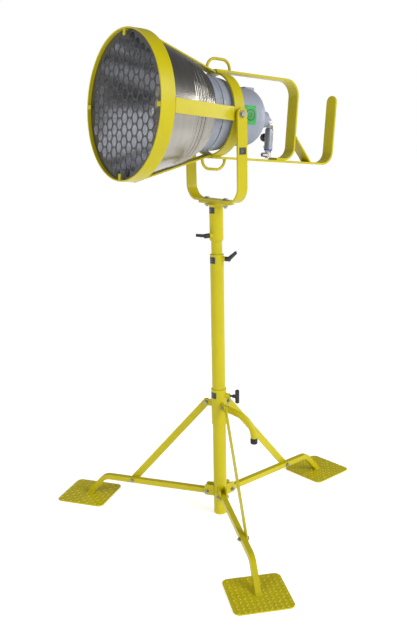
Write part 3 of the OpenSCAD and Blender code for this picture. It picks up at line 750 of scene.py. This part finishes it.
def collar_welds():
    """The beads along the collar's lugs, round the knob's boss and round the handle."""
    low, high = 437, 459
    grip_radius, grip_height, grip_drop = 12.9, 431, 0.07
    lines = []
    for side in SIDES:
        local = LEGS[side].inverted() @ box_middle("strut_" + side)
        sign = 1 if local.y > 0 else -1
        for offset in (3.6, 10.8):
            lines.append((upright_bead(side, 28.9, sign * offset, low, high), 1.5))
    boss = boss_weld("collar_knob_turn", COLLAR_BEAD_R)
    handle = outward_frame(joint_axis("collar_knob_turn"))
    grip_loop = saddle(COLLAR_BEAD_R, grip_radius, grip_height, grip_drop)
    grip = [tuple(handle @ Vector(p)) for p in grip_loop]
    welds("welds_collar", "collar", Matrix.Identity(4), lines, [(boss, 1.5), (grip, 1.8)])


def head_welds():
    """The beads round the upper clamp's boss and under the base plate."""
    plate_thickness = 8
    plate_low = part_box("yoke")[0][2] / MM - plate_thickness
    boss = boss_weld("upper_lever_turn", MAST_BEAD_R)
    flare = ring_points(32.2, plate_low - 0.8)
    welds("welds_head", "pan_head", Matrix.Identity(4), [], [(boss, 1.5), (flare, 1.8)])


def foot_welds(side):
    """A double bead round the leg where it stands on its foot plate."""
    middle = LEGS[side].inverted() @ box_middle("foot_plate_" + side)
    x = middle.x / MM
    long_half = 14.6
    wide_half = 11.0
    corner = 3.0
    outline = []
    for sx, sy in ((1, 1), (-1, 1), (-1, -1), (1, -1)):
        ends = [(long_half, wide_half - corner), (long_half - corner, wide_half)]
        if sx * sy < 0:
            ends.reverse()
        outline += [(x + sx * a, sy * b, 5.6) for a, b in ends]
    inner = [(x + (px - x) * 0.92, py * 0.93, 8.0) for px, py, _ in outline]
    welds("welds_foot_" + side, side + "_leg", LEGS[side], [], [(outline, 2.8), (inner, 2.0)])


# ---- Bolts ----


# How far from a leg's middle plane its bolts' heads and washers sit, in mm.
BOLT_FACE = 15.5


def side_frame(side, x, y, z):
    """A frame beside a leg at metres x out and z up, facing away from the leg on the side of y's sign."""
    place = LEGS[side]
    origin = place @ Vector((x, y * BOLT_FACE * MM, z))
    return along_axis(origin, place.to_3x3() @ Vector((0, y, 0)))


def strut_foot_bolts():
    """The bolt heads that hold the struts' feet, riding on the struts."""
    for side in SIDES:
        leg_bolt = LEGS[side].inverted() @ box_middle("strut_bolt_" + side)
        strut_side = -1 if leg_bolt.y > 0 else 1
        data = bmesh.new()
        hex_head(data, side_frame(side, leg_bolt.x, strut_side, leg_bolt.z), 7.2, 4.4, washer=8.6)
        finish_piece("strut_foot_head_" + side, data, side + "_strut", "zinc_steel", smooth=30)


def pivot_washers():
    """A washer on each side of each leg's pivot."""
    outline = [(4, 0), (8.8, 0), (8.8, 1.1), (8.3, 1.5), (4, 1.5)]
    for side in SIDES:
        pivot = LEGS[side].inverted() @ joint_place(side + "_leg_fold")
        data = bmesh.new()
        for sign in (1, -1):
            add_lathe(data, side_frame(side, pivot.x, sign, pivot.z), outline)
        finish_piece("pivot_washers_" + side, data, "stand", "zinc_steel", smooth=30)


# ---- Stickers ----

STICKER_BLACK = plastic("sticker_black", (0.012, 0.012, 0.012), 0.3, 0.45, 0.05)
STICKER_PALE = plastic("sticker_pale", (0.13, 0.13, 0.12), 0.3, 0.45, 0.05)
STICKER_GREEN = plastic("sticker_green", (0.03, 0.30, 0.065), 0.3, 0.5, 0.05)


def add_patch(data, place, radius, low, high, start, end, steps=10, lift=0.25):
    """A thin sheet on a cylinder about a frame's Z, from one angle to the other in degrees, sizes in mm."""
    grid = []
    for i in range(steps + 1):
        turn = math.radians(start + (end - start) * i / steps)
        edge = ((radius, low), (radius + lift, low), (radius + lift, high), (radius, high))
        grid.append([data.verts.new(place @ (round_point(r, turn, z) * MM)) for r, z in edge])
    for a, b in zip(grid, grid[1:]):
        for k in range(4):
            data.faces.new((a[k], b[k], b[(k + 1) % 4], a[(k + 1) % 4]))
    data.faces.new(grid[0])
    data.faces.new(list(reversed(grid[-1])))


def tube_sticker(name, body, direction, radius, low, high, half_angle=40):
    """A black sticker with a pale border and bars, wrapped on a tube."""
    place = outward_frame(direction)
    data = bmesh.new()
    add_patch(data, place, radius, low, high, -half_angle, half_angle)
    finish_piece(name, data, body, "black_plastic", STICKER_BLACK)
    marks = bmesh.new()
    height = high - low
    inset = 1.6
    line = 0.7
    mark_lift = 0.08
    edge_angle = math.degrees(inset / radius)
    line_angle = math.degrees(line / radius)
    outer = half_angle - edge_angle
    face = radius + 0.24
    for z in (low + inset, high - inset - line):
        add_patch(marks, place, face, z, z + line, -outer, outer, lift=mark_lift)
    bottom = low + inset + line
    top = high - inset - line
    for angle in (-outer, outer - line_angle):
        add_patch(marks, place, face, bottom, top, angle, angle + line_angle, 2, mark_lift)
    for i, share in enumerate((0.72, 0.5, 0.62)):
        z = low + height * (0.28 + 0.18 * i)
        width = outer * share
        start = -outer * 0.75
        add_patch(marks, place, face, z, z + height * 0.07, start, start + 2 * width, 6, mark_lift)
    finish_piece(name + "_marks", marks, body, "white_plastic", STICKER_PALE)


def add_slab(data, place, x0, x1, y0, y1, z0, z1):
    """A block between two corners in a frame, in mm."""
    outline = ((x0, y0), (x1, y0), (x1, y1), (x0, y1))
    rings = [[data.verts.new(place @ (Vector((x, y, z)) * MM)) for x, y in outline] for z in (z0, z1)]
    data.faces.new(rings[0])
    data.faces.new(rings[1])
    join_rings(data, rings)


YOKE_STICKER_HEIGHT = 1.383
YOKE_STICKER_HALF = (14, 11.5)


def yoke_sticker():
    """A flat black sticker on the outer face of the yoke's arm."""
    half_x, half_y = YOKE_STICKER_HALF
    face = Vector((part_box("yoke")[1][0], 0, YOKE_STICKER_HEIGHT))
    place = axes_matrix(face, Vector((0, 1, 0)), UP, Vector((1, 0, 0)))
    data = bmesh.new()
    add_slab(data, place, -half_x, half_x, -half_y, half_y, -0.05, 0.25)
    finish_piece("sticker_yoke", data, "pan_head", "black_plastic", STICKER_BLACK)
    marks = bmesh.new()
    border = ((-8.6, -8, -10.6, 10.6), (8, 8.6, -10.6, 10.6), (-8, 8, -10.6, -10), (-8, 8, 10, 10.6))
    for y0, y1, x0, x1 in border:
        add_slab(marks, place, x0, x1, y0, y1, 0.24, 0.33)
    for y, x1 in ((4.0, 7), (0.6, 3), (-2.6, 6), (-5.6, 1)):
        add_slab(marks, place, -7.5, x1, y, y + 1.4, 0.24, 0.33)
    finish_piece("sticker_yoke_marks", marks, "pan_head", "white_plastic", STICKER_PALE)


# In mm: the barrel's radius, the sticker's front, back, low and high edges, and the middle of its ring.
BARREL_R = 100
GREEN_EDGES = (-53, -103, -28, 36)
GREEN_CENTRE = (-78, 4)


def barrel_point(forward, height, radius):
    """A point in the lamp's frame on the side of the housing's barrel that faces +X in the world, in mm."""
    x = -math.sqrt(radius * radius - height * height)
    return LAMP @ (Vector((x, forward, height)) * MM)


def add_barrel_ring(data, outer, inner, radius):
    """A flat ring round the green sticker's middle, laid on the barrel."""
    forward, height = GREEN_CENTRE
    count = 48
    rings = []
    for r in (outer, inner):
        turns = [2 * math.pi * k / count for k in range(count)]
        points = [(forward + r * math.cos(turn), height + r * math.sin(turn)) for turn in turns]
        rings.append([data.verts.new(barrel_point(f, h, radius)) for f, h in points])
    join_rings(data, rings)


def barrel_sticker():
    """A green sticker on the barrel, with two black rings and three bars."""
    front, back, low, high = GREEN_EDGES
    under = BARREL_R + 0.02
    face = BARREL_R + 0.3
    mark_face = BARREL_R + 0.36
    steps = 16
    data = bmesh.new()
    rows = []
    for i in range(steps + 1):
        h = low + (high - low) * i / steps
        edge = ((front, under), (front, face), (back, face), (back, under))
        rows.append([data.verts.new(barrel_point(forward, h, r)) for forward, r in edge])
    join_rings(data, rows)
    data.faces.new(rows[0])
    data.faces.new(rows[-1])
    finish_piece("sticker_green", data, "lamp", "casting_grey", STICKER_GREEN)
    marks = bmesh.new()
    add_barrel_ring(marks, 19, 16, mark_face)
    add_barrel_ring(marks, 11, 9.6, mark_face)
    for i, half in enumerate((5.5, 7.5, 5.5)):
        f = GREEN_CENTRE[0]
        h = GREEN_CENTRE[1] + (i - 1) * 5
        strip = ((f - half, h - 1), (f + half, h - 1), (f + half, h + 1), (f - half, h + 1))
        marks.faces.new([marks.verts.new(barrel_point(along, up, mark_face)) for along, up in strip])
    finish_piece("sticker_green_marks", marks, "lamp", "black_plastic", STICKER_BLACK)


for side in SIDES:
    tread(side)
    foot_welds(side)
spun_ridges()
lamp_welds()
mast_welds()
collar_welds()
head_welds()
strut_foot_bolts()
pivot_washers()

FRONT = Vector((0, -1, 0))
TUBE_R = 25
SLEEVE_R = 28.5
tube_sticker("sticker_socket", "pan_head", FRONT, TUBE_R, 1165, 1187)
tube_sticker("sticker_mast", "stand", FRONT, TUBE_R, 986, 1010)
tube_sticker("sticker_collar", "collar", FRONT, SLEEVE_R, 476, 500, 34)
yoke_sticker()
barrel_sticker()


# ---- Studio ----

FLOOR_COLOR = (0.86, 0.86, 0.86, 1)
FLOOR_COLOR_PALE = (0.88, 0.88, 0.88, 1)
FLOOR_GLOW = 0.53
FLOOR_HALF = 40
FLOOR_LEVEL = -0.0005
BACKDROP_COLOR = (1, 1, 1, 1)
# The rise of a direction, as its Z, and the grey that it lights with.
SKY_LOW = (0.06, (0.45, 0.45, 0.45, 1))
SKY_HIGH = (0.40, (0.13, 0.13, 0.135, 1))


def floor():
    """A pale floor that glows a little, so that it fades into the backdrop."""
    s = Shader("floor", Specular_IOR_Level=0.2, Emission_Color=(1, 1, 1, 1), Emission_Strength=FLOOR_GLOW)
    s.color(s.mix(s.noise(0.6, 2), FLOOR_COLOR, FLOOR_COLOR_PALE))
    s.roughness(s.span(s.noise(3, 2), 0.65, 0.75))
    mesh = bpy.data.meshes.new("floor")
    outline = ((-1, -1), (1, -1), (1, 1), (-1, 1))
    corners = [(x * FLOOR_HALF, y * FLOOR_HALF, FLOOR_LEVEL) for x, y in outline]
    mesh.from_pydata(corners, [], [(0, 1, 2, 3)])
    mesh.materials.append(s.material)
    place_object("floor", mesh)


def sun(name, azimuth, elevation, strength, softness):
    """A light that falls evenly on the whole floor. Its azimuth is measured from -Y towards +X."""
    light = bpy.data.lights.new(name, "SUN")
    light.energy = strength
    light.angle = math.radians(softness)
    lamp = place_object(name, light)
    turn = math.radians(azimuth)
    rise = math.radians(elevation)
    source = Vector((math.sin(turn) * math.cos(rise), -math.cos(turn) * math.cos(rise), math.sin(rise)))
    lamp.rotation_mode = "QUATERNION"
    lamp.rotation_quaternion = source.to_track_quat("Z", "Y")


def area_light(name, azimuth, distance, height, size, power):
    """A square soft light, its azimuth measured from -Y towards +X, aimed at the middle of the object."""
    turn = math.radians(azimuth)
    light = bpy.data.lights.new(name, "AREA")
    light.shape = "SQUARE"
    light.size = size
    light.energy = power
    lamp = place_object(name, light)
    lamp.location = (distance * math.sin(turn), -distance * math.cos(turn), height)
    lamp.visible_camera = False
    target = Vector((0, 0, 1.0))
    lamp.rotation_mode = "QUATERNION"
    lamp.rotation_quaternion = (target - lamp.location).to_track_quat("-Z", "Y")


def world():
    """A pale backdrop that lights the object less than it shows.

    What it lights with is darker overhead, for bare metal to reflect.
    """
    sky = bpy.data.worlds.new("studio")
    sky.use_nodes = True
    nodes = sky.node_tree.nodes
    links = sky.node_tree.links
    source = nodes.new("ShaderNodeTexCoord")
    split = nodes.new("ShaderNodeSeparateXYZ")
    ramp = nodes.new("ShaderNodeValToRGB")
    path = nodes.new("ShaderNodeLightPath")
    plain = nodes.new("ShaderNodeMix")
    plain.data_type = "RGBA"
    links.new(source.outputs["Generated"], split.inputs["Vector"])
    links.new(split.outputs["Z"], ramp.inputs["Fac"])
    links.new(path.outputs["Is Camera Ray"], plain.inputs[0])
    links.new(ramp.outputs["Color"], plain.inputs[6])
    plain.inputs[7].default_value = BACKDROP_COLOR
    links.new(plain.outputs[2], nodes["Background"].inputs["Color"])
    for element, (position, color) in zip(ramp.color_ramp.elements, (SKY_LOW, SKY_HIGH)):
        element.position = position
        element.color = color
    nodes["Background"].inputs["Strength"].default_value = 1.0
    bpy.context.scene.world = sky


# Angles in degrees, lengths in metres, the lens in mm. The turn is measured from -Y towards +X.
CAMERA_TURN = 54.12
CAMERA_DISTANCE = 2.8022
CAMERA_HEIGHT = 1.4874
CAMERA_YAW = -0.696
CAMERA_PITCH = 14.278
CAMERA_ROLL = -1.002
CAMERA_LENS = 44.38
SENSOR_WIDTH = 36


def camera():
    """The view of the whole light from its front and to one side, a little from above."""
    data = bpy.data.cameras.new("camera")
    data.lens = CAMERA_LENS
    data.sensor_width = SENSOR_WIDTH
    eye = place_object("camera", data)
    turn = math.radians(CAMERA_TURN)
    place = Vector((CAMERA_DISTANCE * math.sin(turn), -CAMERA_DISTANCE * math.cos(turn), CAMERA_HEIGHT))
    heading = Matrix.Rotation(turn - math.radians(CAMERA_YAW), 4, "Z")
    dip = Matrix.Rotation(math.radians(90 - CAMERA_PITCH), 4, "X")
    roll = Matrix.Rotation(math.radians(CAMERA_ROLL), 4, "Z")
    eye.matrix_world = Matrix.Translation(place) @ heading @ dip @ roll
    bpy.context.scene.camera = eye


floor()
world()
sun("sun_key", 112, 26, 2.0, 40)
sun("sun_fill", 20, 35, 0.40, 60)
sun("sun_back", 270, 50, 0.3, 60)
area_light("front_box", 12, 3.2, 1.9, 1.2, 26)
area_light("side_box", 100, 3.4, 1.9, 0.8, 8)
area_light("back_strip", 172, 3.2, 1.7, 0.9, 26)
camera()
bpy.context.scene.view_settings.view_transform = "Standard"
